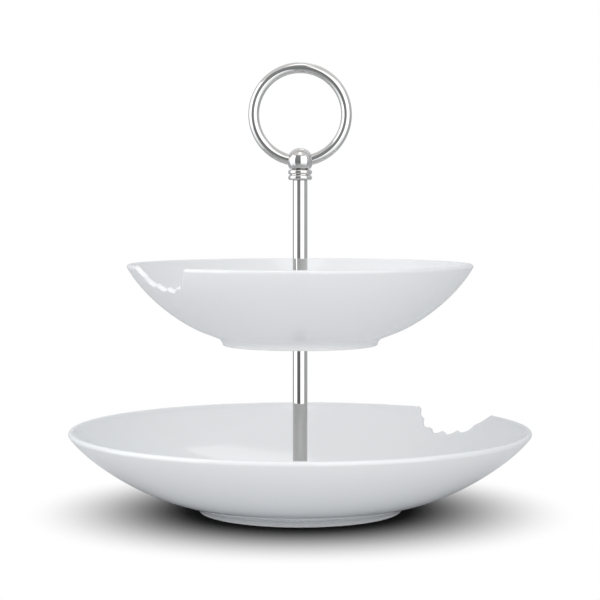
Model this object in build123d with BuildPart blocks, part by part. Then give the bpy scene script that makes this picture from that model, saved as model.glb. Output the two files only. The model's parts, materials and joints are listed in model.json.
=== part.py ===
from build123d import *

import os
from dataclasses import dataclass
from math import cos, radians, sin, sqrt

# Two-tier cake stand: two porcelain dishes clamped on a screwed metal stem with a ring handle.
# Millimetres. +Z is up along the stem, +X is right and +Y is away from the front.
# The origin is the centre of the plane that the lower dish's foot ring stands on.


@dataclass(frozen=True)
class DishSizes:
    """Sizes of one dish. Heights are measured from the bottom of its own foot ring."""

    rim_radius: float
    height: float
    rim_thickness: float
    rim_slope: float  # degrees from level where the wall meets the rim
    foot_radius: float
    foot_width: float
    foot_height: float  # where the wall leaves the foot
    foot_slope: float  # degrees from level where the wall leaves the foot
    foot_fillet: float  # hollow between the foot and the wall
    foot_rounding: float  # corners of the ring that stands on the table
    recess_height: float  # underside of the floor, inside the foot ring
    floor_thickness: float
    floor_inset: float  # how far inside the foot the flat floor ends
    outer_pull_low: float  # how far the outer wall keeps its slope at the foot
    outer_pull_high: float  # how far it keeps its slope at the rim
    inner_pull_low: float
    inner_pull_high: float
    hole_radius: float
    bite_angle: float  # degrees around +Z from +X to the middle of the bite
    bite_half_width: float  # along the top of the rim
    bite_depth: float  # from the top of the rim down the wall to the middle cusp
    bite_lean: float  # fall of the arch for each millimetre along it
    tooth_width: float  # from cusp to cusp
    tooth_depth: float  # how far the deepest tooth bites past its cusps
    tooth_shift: float  # how far the teeth sit to one side of the arch

    @property
    def floor_height(self):
        """Top of the flat floor inside the dish."""
        return self.recess_height + self.floor_thickness


lower_sizes = DishSizes(
    rim_radius=120.0,
    height=42.7,
    rim_thickness=3.0,
    rim_slope=52.8,
    foot_radius=53.0,
    foot_width=5.0,
    foot_height=4.47,
    foot_slope=6.9,
    foot_fillet=2.5,
    foot_rounding=1.0,
    recess_height=4.4,
    floor_thickness=4.4,
    floor_inset=2.1,
    outer_pull_low=25.2,
    outer_pull_high=17.0,
    inner_pull_low=23.2,
    inner_pull_high=16.7,
    hole_radius=3.5,
    bite_angle=40.5,
    bite_half_width=28.2,
    bite_depth=15.0,
    bite_lean=0.1,
    tooth_width=10.3,
    tooth_depth=3.4,
    tooth_shift=2.0,
)
upper_sizes = DishSizes(
    rim_radius=89.6,
    height=42.25,
    rim_thickness=2.6,
    rim_slope=60.3,
    foot_radius=40.4,
    foot_width=4.5,
    foot_height=4.5,
    foot_slope=9.8,
    foot_fillet=3.2,
    foot_rounding=1.0,
    recess_height=4.4,
    floor_thickness=4.2,
    floor_inset=0.5,
    outer_pull_low=13.6,
    outer_pull_high=20.6,
    inner_pull_low=10.9,
    inner_pull_high=20.2,
    hole_radius=3.5,
    bite_angle=217.5,
    bite_half_width=20.75,
    bite_depth=11.8,
    bite_lean=0.11,
    tooth_width=8.0,
    tooth_depth=2.6,
    tooth_shift=0.75,
)

# Bites
tooth_shares = (0.1, 1.0, 0.9, 0.9, 0.75, 0.4)  # depth of each tooth, of the deepest
arch_power = 2.5  # 2 gives a parabola, and more gives a squarer arch
cusp_rounding = 0.8
corner_rounding = 2.0  # where the bite meets the rim
bite_overrun = 10.0  # how far the cut runs past the rim and past the middle of the wall

# Stem
rod_diameter = 7.65
rod_wall = 0.8
rod_chamfer = 0.3
lower_rod_length = 78.1
upper_rod_length = 75.0
insert_length = 12.0
insert_fit = 0.025  # radial gap between an insert and its tube
thread_diameter = 4.0
thread_clearance = 0.05  # radial gap between a thread and its hole
thread_reach = 9.0  # length of thread held in an insert
thread_chamfer = 0.4

# Washers and gaskets
gasket_diameter = 16.0
gasket_thickness = 0.9
washer_diameter = 17.0
washer_thickness = 1.0
washer_bevel = 0.5
seal_clearance = 0.35  # radial gap between a washer or gasket and the thread

# Screw in the foot recess
head_diameter = 11.0
head_height = 1.7
head_bevel = 0.8
slot_width = 1.2
slot_depth = 0.9

# Handle
collar_diameter = 12.4
collar_groove_diameter = 10.5
collar_height = 5.4
bead_height = 2.1
ball_foot_diameter = 9.5
ball_diameter = 12.2
ball_rise = 5.1  # from the top of the collar to the middle of the ball
wire_diameter = 5.6
ring_diameter = 53.55
ring_drop = 0.6  # how far below the ball's middle the wire passes
ring_fit = 0.02  # radial gap between the wire and its channel
stud_web = 0.5  # metal left between the stud's hole and the wire
stud_gap = 0.2  # free space at the end of the stud's hole

# Heights up the stem, each from what it stands on
head_top = lower_sizes.recess_height - gasket_thickness - washer_thickness
lower_rod_z = lower_sizes.floor_height + gasket_thickness + washer_thickness
lower_rod_top = lower_rod_z + lower_rod_length
upper_foot_z = lower_rod_top + washer_thickness + gasket_thickness - upper_sizes.recess_height
upper_floor_z = upper_foot_z + upper_sizes.floor_height
upper_rod_z = upper_floor_z + gasket_thickness + washer_thickness
upper_rod_top = upper_rod_z + upper_rod_length
collar_top = upper_rod_top + collar_height
ball_z = collar_top + ball_rise

# Radii that several pieces share
rod_radius = rod_diameter / 2
rod_bore_radius = rod_radius - rod_wall
thread_hole_radius = thread_diameter / 2
thread_radius = thread_hole_radius - thread_clearance
seal_bore_radius = thread_radius + seal_clearance
wire_radius = wire_diameter / 2
ring_radius = ring_diameter / 2 - wire_radius
ring_z = ball_z - ring_drop + ring_radius
ball_hole_depth = ball_rise - ring_drop - wire_radius - stud_web

os.makedirs("parts", exist_ok=True)


def finish(piece, name):
    """Label a finished piece and write it to its own file."""
    piece.label = name
    export_step(piece, f"parts/{name}.step")


def section_plane(z):
    """Upright plane through the axis: across is the radius, up is the height above z."""
    return Plane(origin=(0, 0, z), x_dir=(1, 0, 0), z_dir=(0, -1, 0))


def bite_plane(size, foot_z):
    """Plane square to the wall at the rim, in the middle of the bite, with up towards the rim."""
    around = radians(size.bite_angle)
    slope = radians(size.rim_slope)
    outward = Vector(cos(around), sin(around), 0)
    up = Vector(0, 0, 1)
    rim_rounding = size.rim_thickness / 2
    middle = outward * (size.rim_radius - rim_rounding) + up * (foot_z + size.height - rim_rounding)
    return Plane(
        origin=middle,
        x_dir=(-sin(around), cos(around), 0),
        z_dir=outward * sin(slope) - up * cos(slope),
    )


def make_dish(size, foot_z, name):
    """A turned dish: foot ring, flat floor, curved wall with a rounded rim, and a bite."""
    slope = radians(size.rim_slope)
    rim_rounding = size.rim_thickness / 2
    along = Vector(cos(slope), sin(slope))
    across = Vector(sin(slope), -cos(slope))
    rim_middle = Vector(size.rim_radius - rim_rounding, size.height - rim_rounding)
    outer_top = rim_middle + across * rim_rounding
    inner_top = rim_middle - across * rim_rounding

    foot_slope = radians(size.foot_slope)
    foot_inside = size.foot_radius - size.foot_width
    hollow_start = (size.foot_radius, size.foot_height - size.foot_fillet * cos(foot_slope))
    wall_run = Vector(cos(foot_slope), sin(foot_slope)) * size.outer_pull_low
    floor_end = Vector(size.foot_radius - size.floor_inset, size.floor_height)

    rim_top = size.rim_radius - rim_rounding * (1 - cos(slope))
    rim_fall = rim_top - sqrt(rim_top**2 - size.bite_half_width**2)
    rim_level = rim_rounding - rim_fall * cos(slope)

    def arch(u):
        """Height of the arch that the cusps lie on, at u beside its middle line."""
        rise = abs(u / size.bite_half_width) ** arch_power
        bottom = rim_rounding - size.bite_depth - size.bite_lean * u
        return bottom + (rim_level - bottom) * rise

    middle_tooth = len(tooth_shares) / 2
    inner_cusps = [
        size.tooth_shift + size.tooth_width * (i - middle_tooth) for i in range(1, len(tooth_shares))
    ]
    cusps = [-size.bite_half_width, *inner_cusps, size.bite_half_width]
    flank = size.bite_half_width + bite_overrun

    with BuildPart() as dish:
        with BuildSketch(section_plane(foot_z)):
            with BuildLine():
                foot = FilletPolyline(
                    (size.hole_radius, size.recess_height),
                    (foot_inside, size.recess_height),
                    (foot_inside, 0),
                    (size.foot_radius, 0),
                    hollow_start,
                    radius=size.foot_rounding,
                )
                hollow = JernArc(foot @ 1, (0, 1), size.foot_fillet, size.foot_slope - 90)
                Bezier(
                    hollow @ 1,
                    hollow @ 1 + wall_run,
                    outer_top - along * size.outer_pull_high,
                    outer_top,
                )
                ThreePointArc(outer_top, rim_middle + along * rim_rounding, inner_top)
                Bezier(
                    inner_top,
                    inner_top - along * size.inner_pull_high,
                    floor_end + Vector(size.inner_pull_low, 0),
                    floor_end,
                )
                Polyline(floor_end, (size.hole_radius, size.floor_height), foot @ 0)
            make_face()
        revolve(axis=Axis.Z)
        with BuildSketch(bite_plane(size, foot_z)) as bite:
            with BuildLine():
                for left, right, share in zip(cusps, cusps[1:], tooth_shares):
                    start = Vector(left, arch(left))
                    end = Vector(right, arch(right))
                    chord = end - start
                    below = Vector(chord.Y, -chord.X).normalized()
                    ThreePointArc(start, (start + end) / 2 + below * size.tooth_depth * share, end)
                Polyline(
                    (cusps[-1], rim_level),
                    (flank, rim_level),
                    (flank, bite_overrun),
                    (-flank, bite_overrun),
                    (-flank, rim_level),
                    (cusps[0], rim_level),
                )
            make_face()
            fillet(bite.vertices().sort_by(Axis.X)[3:-3], cusp_rounding)
            along_rim = bite.vertices().sort_by(Axis.X)
            fillet([along_rim[2], along_rim[-3]], corner_rounding)
        extrude(amount=bite_overrun, both=True, mode=Mode.SUBTRACT)
    finish(dish.part, name)


def make_rod(z, length, name):
    """A plain tube with broken outer edges at its two ends."""
    with BuildPart() as rod:
        with BuildSketch(Plane.XY.offset(z)):
            Circle(rod_radius)
            Circle(rod_bore_radius, mode=Mode.SUBTRACT)
        extrude(amount=length)
        chamfer(rod.edges().filter_by(GeomType.CIRCLE).group_by(SortBy.RADIUS)[-1], rod_chamfer)
    finish(rod.part, name)


def make_insert(z, name):
    """A threaded bush that closes one end of a tube, drawn with a plain hole."""
    with BuildPart() as insert:
        with BuildSketch(Plane.XY.offset(z)):
            Circle(rod_bore_radius - insert_fit)
            Circle(thread_hole_radius, mode=Mode.SUBTRACT)
        extrude(amount=insert_length)
    finish(insert.part, name)


def make_stud(z, length, name):
    """A headless stud, drawn at the outside of its thread."""
    with BuildPart() as stud:
        with BuildSketch(Plane.XY.offset(z)):
            Circle(thread_radius)
        extrude(amount=length)
        chamfer(stud.edges().filter_by(GeomType.CIRCLE), thread_chamfer)
    finish(stud.part, name)


def make_gasket(z, name):
    """A flat rubber ring."""
    with BuildPart() as gasket:
        with BuildSketch(Plane.XY.offset(z)):
            Circle(gasket_diameter / 2)
            Circle(seal_bore_radius, mode=Mode.SUBTRACT)
        extrude(amount=gasket_thickness)
    finish(gasket.part, name)


def make_washer(z, name, bevel_side):
    """A metal washer with a bevelled rim on the side away from its gasket."""
    with BuildPart() as washer:
        with BuildSketch(Plane.XY.offset(z)):
            Circle(washer_diameter / 2)
            Circle(seal_bore_radius, mode=Mode.SUBTRACT)
        extrude(amount=washer_thickness)
        rim = washer.edges().filter_by(GeomType.CIRCLE).group_by(SortBy.RADIUS)[-1]
        chamfer(rim.sort_by(Axis.Z)[bevel_side], washer_bevel)
    finish(washer.part, name)


# Dishes
make_dish(lower_sizes, 0, "lower_dish")
make_dish(upper_sizes, upper_foot_z, "upper_dish")

# Tubes and the bushes in their ends
make_rod(lower_rod_z, lower_rod_length, "lower_rod")
make_rod(upper_rod_z, upper_rod_length, "upper_rod")
make_insert(lower_rod_z, "lower_rod_foot_insert")
make_insert(lower_rod_top - insert_length, "lower_rod_head_insert")
make_insert(upper_rod_z, "upper_rod_foot_insert")
make_insert(upper_rod_top - insert_length, "upper_rod_head_insert")

# Washers and gaskets, from the foot recess upwards
make_washer(head_top, "bottom_washer", 0)
make_gasket(head_top + washer_thickness, "bottom_gasket")
make_gasket(lower_sizes.floor_height, "lower_floor_gasket")
make_washer(lower_sizes.floor_height + gasket_thickness, "lower_floor_washer", -1)
make_washer(lower_rod_top, "upper_under_washer", 0)
make_gasket(lower_rod_top + washer_thickness, "upper_under_gasket")
make_gasket(upper_floor_z, "upper_floor_gasket")
make_washer(upper_floor_z + gasket_thickness, "upper_floor_washer", -1)

# Screw that clamps the lower dish to the lower rod
with BuildPart() as bottom_screw:
    with BuildSketch(Plane.XY.offset(head_top)):
        Circle(head_diameter / 2)
    extrude(amount=-head_height)
    chamfer(bottom_screw.edges().filter_by(GeomType.CIRCLE).sort_by(Axis.Z)[0], head_bevel)
    with BuildSketch(Plane.XY.offset(head_top - head_height)):
        Rectangle(head_diameter + slot_width, slot_width)
    extrude(amount=slot_depth, mode=Mode.SUBTRACT)
    with BuildSketch(Plane.XY.offset(head_top)):
        Circle(thread_radius)
    extrude(amount=lower_rod_z + thread_reach - head_top)
    chamfer(bottom_screw.edges().filter_by(GeomType.CIRCLE).sort_by(Axis.Z)[-1], thread_chamfer)
finish(bottom_screw.part, "bottom_screw")

# Studs: one through the upper dish between the two tubes, one between the upper tube and the handle
joining_stud_z = lower_rod_top - thread_reach
make_stud(joining_stud_z, upper_rod_z + thread_reach - joining_stud_z, "joining_stud")
handle_stud_z = upper_rod_top - thread_reach
make_stud(handle_stud_z, collar_top + ball_hole_depth - stud_gap - handle_stud_z, "handle_stud")

# Collar: a round bead at each end, and a straight groove between them
with BuildPart() as handle_collar:
    groove_radius = collar_groove_diameter / 2
    with BuildSketch(section_plane(upper_rod_top)):
        with BuildLine():
            lower_bead = ThreePointArc(
                (groove_radius, 0),
                (collar_diameter / 2, bead_height / 2),
                (groove_radius, bead_height),
            )
            upper_bead = ThreePointArc(
                (groove_radius, collar_height - bead_height),
                (collar_diameter / 2, collar_height - bead_height / 2),
                (groove_radius, collar_height),
            )
            Line(lower_bead @ 1, upper_bead @ 0)
            Polyline(
                upper_bead @ 1,
                (thread_hole_radius, collar_height),
                (thread_hole_radius, 0),
                lower_bead @ 0,
            )
        make_face()
    revolve(axis=Axis.Z)
finish(handle_collar.part, "handle_collar")

# Ball, drawn in a little towards its foot, bored across for the ring and from below for its stud
ring_axis = Axis((0, 0, ring_z), (0, 1, 0))
with BuildPart() as handle_ball:
    ball_radius = ball_diameter / 2
    ball_side = (ball_radius, ball_rise)
    with BuildSketch(section_plane(collar_top)):
        with BuildLine():
            dome = CenterArc((0, ball_rise), ball_radius, 0, 90)
            Polyline(dome @ 1, (0, 0), (ball_foot_diameter / 2, 0))
            TangentArc(ball_side, (ball_foot_diameter / 2, 0), tangent=(0, -1))
        make_face()
    revolve(axis=Axis.Z)
    with BuildSketch(Plane.XY.offset(collar_top)):
        Circle(thread_hole_radius)
    extrude(amount=ball_hole_depth, mode=Mode.SUBTRACT)
    with BuildSketch(Plane.XY.offset(ring_z)):
        with Locations((ring_radius, 0)):
            Circle(wire_radius + ring_fit)
    revolve(axis=ring_axis, mode=Mode.SUBTRACT)
finish(handle_ball.part, "handle_ball")

# Ring of round wire, facing the front
with BuildPart() as handle_ring:
    with BuildSketch(Plane.XY.offset(ring_z)):
        with Locations((ring_radius, 0)):
            Circle(wire_radius)
    revolve(axis=ring_axis)
finish(handle_ring.part, "handle_ring")
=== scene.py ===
"""Looks of a two-tier cake stand: bitten porcelain dishes on a chromed stem with a ring handle.

Shapes are worked out in millimetres and put into their meshes in metres, in the frame's own axes:
+Z up along the stem, +X right and +Y away from the front. A profile is an array of (radius, height)
points, and a surface is an array of rings, each ring going anticlockwise around the stem.
"""

import json
import logging
import math
from dataclasses import dataclass
from enum import Enum

import bpy
import numpy as np
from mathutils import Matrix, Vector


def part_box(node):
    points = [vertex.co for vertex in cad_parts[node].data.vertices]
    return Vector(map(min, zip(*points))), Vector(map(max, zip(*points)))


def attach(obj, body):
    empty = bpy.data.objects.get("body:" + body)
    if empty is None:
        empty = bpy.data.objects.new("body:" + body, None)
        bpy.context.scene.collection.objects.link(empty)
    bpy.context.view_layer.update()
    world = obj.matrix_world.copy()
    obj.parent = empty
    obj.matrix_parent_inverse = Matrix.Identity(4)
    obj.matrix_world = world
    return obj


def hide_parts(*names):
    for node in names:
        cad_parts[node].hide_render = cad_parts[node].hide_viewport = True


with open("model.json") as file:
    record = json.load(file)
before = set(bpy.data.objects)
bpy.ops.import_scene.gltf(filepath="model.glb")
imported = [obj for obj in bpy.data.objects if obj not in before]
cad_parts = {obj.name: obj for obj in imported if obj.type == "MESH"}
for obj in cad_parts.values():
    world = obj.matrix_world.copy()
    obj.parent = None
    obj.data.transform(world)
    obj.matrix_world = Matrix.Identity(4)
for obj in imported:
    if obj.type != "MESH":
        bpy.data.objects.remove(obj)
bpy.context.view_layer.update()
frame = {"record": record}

MM = 0.001
TURN = 2 * math.pi
MARK = "mark"  # on a mesh's points: bare glaze, painted shade in a crevice, or a card's glow
NOISE_MIDDLE = (0.3, 0.7)  # where most of a noise's values lie
SHARP_TURN = 40.0  # degrees from which an edge of turned metal is sharp
INNER = 0.5  # radius of the corners that only close an outline

Array = np.ndarray
Colour = tuple[float, float, float, float]
Piece = bpy.types.Object
Socket = bpy.types.NodeSocket
Span = tuple[float, float]
Triple = tuple[float, float, float]

log = logging.getLogger("cake_stand")


class Slot(Enum):
    """The record's material slots."""

    PORCELAIN = "porcelain"
    CHROME = "chrome"
    RUBBER = "rubber"
    BRASS = "brass"
    STEEL = "steel"


class Ends(Enum):
    """How a grid of rings is closed."""

    JOINED = "joined"  # the last ring meets the first
    CAPPED = "capped"  # each end closes on a point in the middle of its ring
    OPEN = "open"  # nothing is beyond the first and last rings
    PATCH = "patch"  # the rings are open lines as well


class ShaderGraph:
    """The node tree of a material or of the world."""

    def __init__(self, owner: bpy.types.ID, output: str = "ShaderNodeOutputMaterial") -> None:
        """Give the owner an empty tree with an output node.

        Args:
            owner: The material or world.
            output: Blender's name for the output node's type.
        """
        owner.use_nodes = True
        self.owner = owner
        self.tree = owner.node_tree
        self.tree.nodes.clear()
        self.output = self.add(output)

    def add(self, kind: str, inputs: dict | None = None, **properties: object) -> bpy.types.Node:
        """Add a node to the tree.

        Args:
            kind: Blender's name for the node's type.
            inputs: Each input's name or number, with its value, or the socket or node that feeds it.
            properties: The node's own settings.

        Returns:
            The new node.
        """
        node = self.tree.nodes.new(kind)
        for name, value in properties.items():
            setattr(node, name, value)
        for name, value in (inputs or {}).items():
            source = value.outputs[0] if isinstance(value, bpy.types.Node) else value
            if isinstance(source, Socket):
                self.tree.links.new(source, node.inputs[name])
            else:
                node.inputs[name].default_value = source
        return node

    def place(self) -> Socket:
        """Object coordinates, in metres."""
        return self.add("ShaderNodeTexCoord").outputs["Object"]

    def mark(self) -> Socket:
        """The mark on the mesh's points, nothing where it has none."""
        return self.add("ShaderNodeAttribute", attribute_name=MARK).outputs["Fac"]

    def noise(self, place: Socket, scale: float, detail: float) -> Socket:
        """Cloudy values about 0.5, with about `scale` clouds to the metre."""
        inputs = {"Vector": place, "Scale": scale, "Detail": detail}
        return self.add("ShaderNodeTexNoise", inputs).outputs["Fac"]

    def mix(self, share: Socket, low: object, high: object) -> Socket:
        """Colour between `low` and `high`, each a colour or a socket."""
        return self.add("ShaderNodeMix", {0: share, 6: low, 7: high}, data_type="RGBA").outputs[2]

    def ramp(self, value: Socket, given: Span, wanted: Span = (0.0, 1.0), **way: str) -> Socket:
        """A value's `given` range spread over the `wanted` one."""
        limits = zip(("From Min", "From Max", "To Min", "To Max"), (*given, *wanted))
        return self.add("ShaderNodeMapRange", {"Value": value, **dict(limits)}, **way).outputs["Result"]

    def bump(self, height: Socket, depth: float) -> Socket:
        """Normals of a surface raised by up to `depth` metres."""
        return self.add("ShaderNodeBump", {"Height": height, "Distance": depth}).outputs["Normal"]

    def larger(self, one: Socket, other: Socket) -> Socket:
        """The larger of two values."""
        return self.add("ShaderNodeMath", {0: one, 1: other}, operation="MAXIMUM").outputs[0]

    def seen(self) -> Socket:
        """Tell what is seen from what is lit.

        Returns:
            One for camera, glossy and transmission rays, nothing for the rest.
        """
        rays = self.add("ShaderNodeLightPath").outputs
        plain = self.larger(rays["Is Camera Ray"], rays["Is Glossy Ray"])
        return self.larger(plain, rays["Is Transmission Ray"])

    def surface(self, kind: str, inputs: dict) -> None:
        """Add a shader and send it to the output."""
        shader = self.add(kind, inputs)
        self.tree.links.new(shader.outputs[0], self.output.inputs["Surface"])


class Finish:
    """A surface finish, whose material is made when it is first used."""

    slot: Slot
    name: str

    def material(self) -> bpy.types.Material:
        """Make the finish's material, or find it where another piece has it.

        Returns:
            The material.
        """
        known = bpy.data.materials.get(self.name)
        if known:
            return known
        graph = ShaderGraph(bpy.data.materials.new(self.name))
        self.paint(graph)
        return graph.owner

    def paint(self, graph: ShaderGraph) -> None:
        """Fill the material's tree."""
        raise NotImplementedError


@dataclass(frozen=True)
class Glaze(Finish):
    """White glaze on porcelain, faintly uneven, and left off where the foot ring stands."""

    slot: Slot = Slot.PORCELAIN
    name: str = "white_glaze"
    thick: Colour = (0.82, 0.828, 0.84, 1.0)
    thin: Colour = (0.85, 0.856, 0.866, 1.0)
    bare: Colour = (0.74, 0.71, 0.66, 1.0)
    cloud_scale: float = 22.0
    cloud_detail: float = 3.0
    ripple_scale: float = 40.0
    ripple_detail: float = 1.0
    ripple_depth: float = 0.000006  # metres
    gloss: Span = (0.05, 0.10)
    bare_roughness: float = 0.6
    refraction: float = 1.52

    def paint(self, graph: ShaderGraph) -> None:
        """Clouds tint the glaze and its gloss, ripples bend its reflections, the mark bares it.

        Args:
            graph: The material's tree.
        """
        place, mark = graph.place(), graph.mark()
        clouds = graph.noise(place, self.cloud_scale, self.cloud_detail)
        ripples = graph.noise(place, self.ripple_scale, self.ripple_detail)
        gloss = graph.ramp(clouds, NOISE_MIDDLE, self.gloss)
        roughness = {0: mark, 2: gloss, 3: self.bare_roughness}
        graph.surface(
            "ShaderNodeBsdfPrincipled",
            {
                "Base Color": graph.mix(mark, graph.mix(clouds, self.thick, self.thin), self.bare),
                "Roughness": graph.add("ShaderNodeMix", roughness, data_type="FLOAT"),
                "IOR": self.refraction,
                "Normal": graph.bump(ripples, self.ripple_depth),
            },
        )


@dataclass(frozen=True)
class Grained(Finish):
    """A metal or rubber with one grain in its colour, gloss and surface, and a painted shade in marked
    crevices.
    """

    slot: Slot
    name: str
    dark: Colour
    light: Colour
    gloss: Span
    grain_scale: float
    grain_depth: float  # metres
    grain_detail: float = 4.0
    grain_stretch: Triple = (1.0, 1.0, 1.0)
    metallic: float = 1.0
    milkiness: float = 0.0
    milk_depth: Triple = (0.002, 0.002, 0.002)  # metres
    # painted shade for marked crevices, where shadow falls between parts
    crevice_shade: Colour = (0.05, 0.05, 0.055, 1.0)

    def paint(self, graph: ShaderGraph) -> None:
        """One noise, drawn out along the grain, drives the colour, the gloss and the bump.

        Args:
            graph: The material's tree.
        """
        place = {"Vector": graph.place(), "Scale": self.grain_stretch}
        stretched = graph.add("ShaderNodeMapping", place)
        grain = graph.noise(stretched.outputs["Vector"], self.grain_scale, self.grain_detail)
        colour = graph.mix(grain, self.dark, self.light)
        graph.surface(
            "ShaderNodeBsdfPrincipled",
            {
                # marked crevices take the painted shade instead of the grain's colour
                "Base Color": graph.mix(graph.mark(), colour, self.crevice_shade),
                "Metallic": self.metallic,
                "Roughness": graph.ramp(grain, NOISE_MIDDLE, self.gloss),
                "Subsurface Weight": self.milkiness,
                "Subsurface Radius": self.milk_depth,
                "Normal": graph.bump(grain, self.grain_depth),
            },
        )


GLAZE = Glaze()
CHROME = Grained(
    slot=Slot.CHROME,
    name="polished_chrome",
    dark=(0.54, 0.53, 0.52, 1.0),
    light=(0.59, 0.58, 0.57, 1.0),
    gloss=(0.015, 0.04),
    grain_scale=260.0,
    grain_depth=0.0000002,
)
BRASS = Grained(
    slot=Slot.BRASS,
    name="turned_brass",
    dark=(0.62, 0.45, 0.19, 1.0),
    light=(0.80, 0.62, 0.32, 1.0),
    gloss=(0.22, 0.36),
    grain_scale=500.0,
    grain_depth=0.00001,
    grain_stretch=(1.0, 1.0, 12.0),
)
STEEL = Grained(
    slot=Slot.STEEL,
    name="zinc_plated_steel",
    dark=(0.52, 0.54, 0.57, 1.0),
    light=(0.66, 0.67, 0.70, 1.0),
    gloss=(0.24, 0.40),
    grain_scale=700.0,
    grain_depth=0.000008,
)
RUBBER = Grained(
    slot=Slot.RUBBER,
    name="milky_rubber",
    dark=(0.66, 0.67, 0.66, 1.0),
    light=(0.76, 0.77, 0.76, 1.0),
    gloss=(0.45, 0.62),
    grain_scale=900.0,
    grain_depth=0.00004,
    grain_detail=3.0,
    metallic=0.0,
    milkiness=0.2,
)


def node_box(node: str) -> tuple[Array, Array]:
    """Lowest and highest corners of a node, in millimetres."""
    low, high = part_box(node)
    return np.array(low) / MM, np.array(high) / MM


def carrier(node: str) -> str:
    """Name of the body that carries a node."""
    bodies = frame["record"]["behaviour"]["bodies"]
    return next(body for body, members in bodies.items() if node in members)


def unit(vectors: Array) -> Array:
    """Vectors of length one, along the last axis."""
    return vectors / np.linalg.norm(vectors, axis=-1, keepdims=True)


def ease(x: Array) -> Array:
    """Smooth step from 0 at 0 to 1 at 1: three squares less two cubes."""
    x = np.clip(x, 0.0, 1.0)
    return x * x * (3 - 2 * x)


def whole_turn(columns: int) -> Array:
    """Evenly spaced angles around a circle."""
    return np.linspace(0, TURN, columns, endpoint=False)


def turned(radius: Array, angle: Array, height: Array) -> Array:
    """Points about the stem: the radius times the angle's cosine and sine, and the height."""
    parts = (radius * np.cos(angle), radius * np.sin(angle), height)
    return np.stack(np.broadcast_arrays(*parts), axis=-1)


def lathe(profile: Array, columns: int) -> Array:
    """Rings of a profile turned about the stem, with as many points around each as there are columns."""
    return turned(profile[:, :1], whole_turn(columns), profile[:, 1:])


def arc(centre: Span, radius: float, angles: Array) -> Array:
    """Profile points on a circle: its radius times the angles' cosines and sines, about its centre."""
    return np.column_stack((np.cos(angles), np.sin(angles))) * radius + centre


def rounded_outline(
    corners: Array, radii: Array, kept: slice = slice(None), steps: int = 7, hold: float = 0.25
) -> Array:
    """Closed outline with an arc at each corner, and a point held on the straight at each side of it.

    An arc starts and ends at its radius over the tangent of half the corner's angle from the corner.
    Its centre is on the corner's bisector, and its points are the two end radii blended by sines, so
    that they are evenly turned.

    Args:
        corners: (corners, 2) points, anticlockwise in radius and height.
        radii: One radius for each corner.
        kept: The corners to return.
        steps: Points along each arc.
        hold: Longest distance of a held point from its arc, where a third of the straight is longer.

    Returns:
        (points, 2) outline.
    """
    back = unit(np.roll(corners, 1, axis=0) - corners)
    forth = unit(np.roll(corners, -1, axis=0) - corners)
    half = np.arccos(np.clip((back * forth).sum(axis=1), -1, 1)) / 2
    set_back = (radii / np.tan(half))[:, None]
    centre = corners + unit(back + forth) * (radii / np.sin(half))[:, None]
    first = corners + back * set_back
    last = corners + forth * set_back
    turn = (math.pi - 2 * half)[:, None, None]
    share = np.linspace(0, 1, steps)[None, :, None]
    from_first = np.sin((1 - share) * turn) / np.sin(turn) * (first - centre)[:, None]
    from_last = np.sin(share * turn) / np.sin(turn) * (last - centre)[:, None]
    arcs = centre[:, None] + from_first + from_last
    run = np.linalg.norm(np.roll(first, -1, axis=0) - last, axis=1, keepdims=True)
    held = np.minimum(run / 3, hold)
    before = first + back * np.roll(held, 1, axis=0)
    after = last + forth * held
    outline = np.concatenate((before[:, None], arcs, after[:, None]), axis=1)
    return outline[kept].reshape(-1, 2)


def put(name: str, data: bpy.types.ID) -> Piece:
    """Put something new into the scene.

    Args:
        name: Its name.
        data: Its mesh, lamp or camera.

    Returns:
        The object, at the origin.
    """
    made = bpy.data.objects.new(name, data)
    bpy.context.scene.collection.objects.link(made)
    return made


def skin(
    name: str, rings: Array, ends: Ends, crease: float | None = None, marks: Array | None = None
) -> Piece:
    """Object whose mesh is a grid of rings, with four-sided faces between neighbours.

    Args:
        name: The piece's name.
        rings: (rows, columns, 3) points in millimetres.
        ends: How the surface is closed.
        crease: Turn in degrees from which an edge is sharp, or None for a smooth surface.
        marks: Value of the mark at each point, or None.

    Returns:
        The object, at the origin.
    """
    rows, columns = rings.shape[:2]
    index = np.arange(rows * columns).reshape(rows, columns)
    beside = np.roll(index, -1, axis=1)
    sides = (index, beside, np.roll(beside, -1, axis=0), np.roll(index, -1, axis=0))
    grid = np.stack(sides, axis=-1)
    if ends is not Ends.JOINED:
        grid = grid[:-1]
    if ends is Ends.PATCH:
        grid = grid[:, :-1]
    points = rings.reshape(-1, 3)
    faces = grid.reshape(-1, 4).tolist()
    if ends is Ends.CAPPED:
        start, stop = len(points), len(points) + 1
        points = np.concatenate((points, rings[[0, -1]].mean(axis=1)))
        first_fan = np.stack((np.full(columns, start), beside[0], index[0]), axis=-1)
        last_fan = np.stack((index[-1], beside[-1], np.full(columns, stop)), axis=-1)
        faces += first_fan.tolist() + last_fan.tolist()
    mesh = bpy.data.meshes.new(name)
    mesh.from_pydata((points * MM).tolist(), [], faces)
    mesh.shade_smooth()
    if crease is not None:
        mesh.set_sharp_from_angle(angle=math.radians(crease))
    if marks is not None:
        mesh.attributes.new(MARK, "FLOAT", "POINT").data.foreach_set("value", marks.ravel())
    return put(name, mesh)


def sleeve(name: str, heights: Span, radii: Span, edges: Span, columns: int) -> Piece:
    """A tube or flat ring with rounded edges.

    Args:
        name: The piece's name.
        heights: Its bottom and top.
        radii: Of its hole and its outside.
        edges: Radii of the edges of the hole and of the outside.
        columns: Points around it.

    Returns:
        The piece.
    """
    (bottom, top), (bore, radius), (inner, outer) = heights, radii, edges
    corners = np.array(((bore, bottom), (radius, bottom), (radius, top), (bore, top)))
    outline = rounded_outline(corners, np.array((inner, outer, outer, inner)))
    return skin(name, lathe(outline, columns), Ends.JOINED)


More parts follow.
